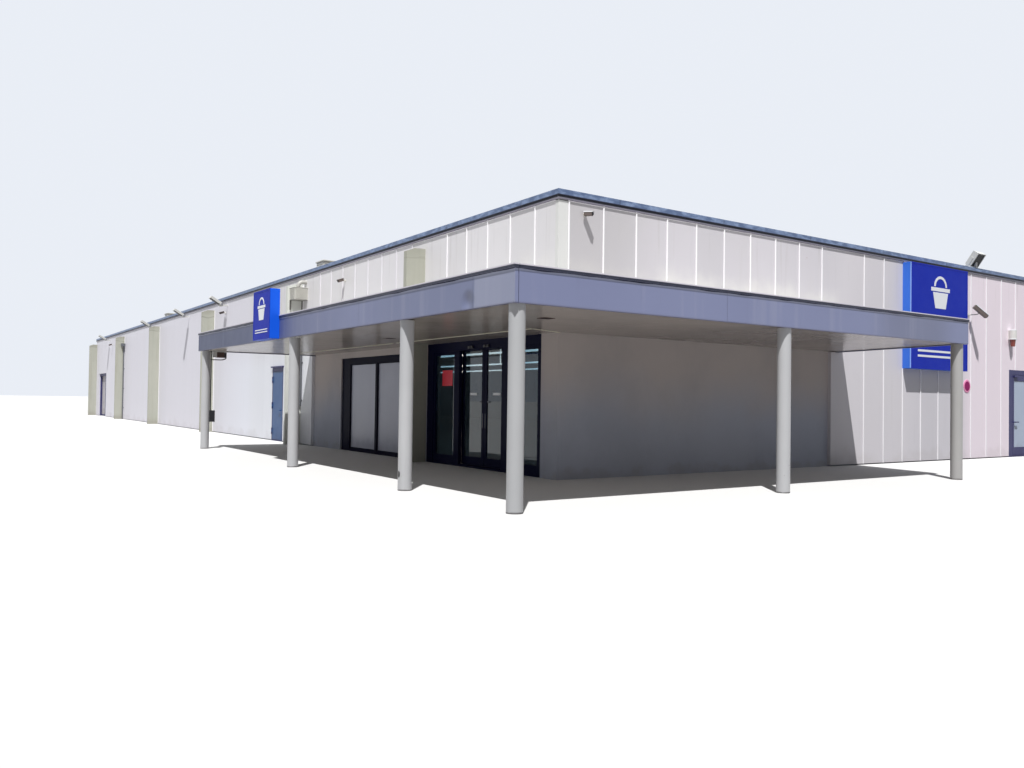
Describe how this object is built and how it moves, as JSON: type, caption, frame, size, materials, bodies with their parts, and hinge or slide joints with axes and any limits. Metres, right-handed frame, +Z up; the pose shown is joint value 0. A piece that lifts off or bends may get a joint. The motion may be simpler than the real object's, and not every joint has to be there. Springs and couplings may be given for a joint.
{
  "type": "supermarket building, 1:2 scale model",
  "caption": "1:2 scale model of a long flat-roofed supermarket hall: corner canopy on columns, sliding entrance, clad walls with concrete fins, two hinged doors, blank sign boxes.",
  "frame": {"origin": "centre of the floor slab's underside, at ground level", "axes": "+X along the front wall, away from the entrance corner; +Y along the long entrance side, away from the front; +Z up"},
  "size_m": [15.16, 29.4, 3.02],
  "materials": {
    "band": "matt",
    "blue_door": "satin",
    "cladding": "satin, weathered",
    "clear_glass": "clear",
    "column_paint": "chipped, dirty",
    "concrete": "rough, stained",
    "dark_fitting": "satin",
    "dark_frame": "powder coated, satin",
    "fascia": "satin, dented, streaked",
    "fitting": "satin",
    "pale_door": "satin",
    "render": "painted, stained",
    "roofing": "matt",
    "sign": "gloss",
    "soffit": "satin",
    "white_board": "satin",
    "zinc": "satin"
  },
  "bodies": {
    "building": {"back_wall": "render", "cameras": "fitting", "canopy_deck": "roofing", "canopy_fascia": "fascia", "canopy_soffit": "soffit", "closed_bay_boards": "white_board", "closed_bay_frame": "dark_frame", "columns": "column_paint", "coping_band": "band", "entrance_fixed_glass": "clear_glass", "entrance_frame": "dark_frame", "entrance_header": "dark_frame", "fascia_sign_box": "sign", "floodlights": "dark_fitting", "floor_slab": "concrete", "front_cladding": "cladding", "front_door_frame": "dark_frame", "front_sign_box": "sign", "front_wall_left": "render", "front_wall_over_door": "render", "front_wall_right": "render", "left_cladding": "cladding", "left_fins": "concrete", "left_wall_corner": "render", "left_wall_far": "render", "left_wall_near": "render", "left_wall_over_entrance": "render", "left_wall_over_service_door": "render", "plain_side_cladding": "cladding", "rainwater_pipes": "zinc", "right_fins": "concrete", "right_wall": "render", "roller_shutter": "white_board", "roof_coping": "zinc", "roof_deck": "roofing", "roof_vents": "fitting", "service_door_frame": "dark_frame", "shutter_frame": "dark_frame", "siren": "fitting", "wall_unit": "fitting"},
    "near_leaf": {"sliding_leaf_near": "dark_frame", "sliding_leaf_near_glass": "clear_glass"},
    "far_leaf": {"sliding_leaf_far": "dark_frame", "sliding_leaf_far_glass": "clear_glass"},
    "service_door": {"service_door_leaf": "blue_door"},
    "emergency_door": {"front_door_leaf": "blue_door", "front_door_panel": "pale_door"}
  },
  "joints": [
    {"name": "near_leaf_slide", "type": "slide", "parent": "building", "child": "near_leaf", "axis": [0, -1, 0], "range_m": [0, 0.45]},
    {"name": "far_leaf_slide", "type": "slide", "parent": "building", "child": "far_leaf", "axis": [0, 1, 0], "range_m": [0, 0.45]},
    {"name": "service_door_hinge", "type": "hinge", "parent": "building", "child": "service_door", "pos_m": [-6.554, -5.7125, 0], "axis": [0, 0, -1], "range_deg": [0, 95]},
    {"name": "emergency_door_hinge", "type": "hinge", "parent": "building", "child": "emergency_door", "pos_m": [2.6185, -13.804, 0], "axis": [0, 0, 1], "range_deg": [0, 95]}
  ],
  "couplings": [
    {"joint": "far_leaf_slide", "follows": "near_leaf_slide", "ratio": 1}
  ]
}
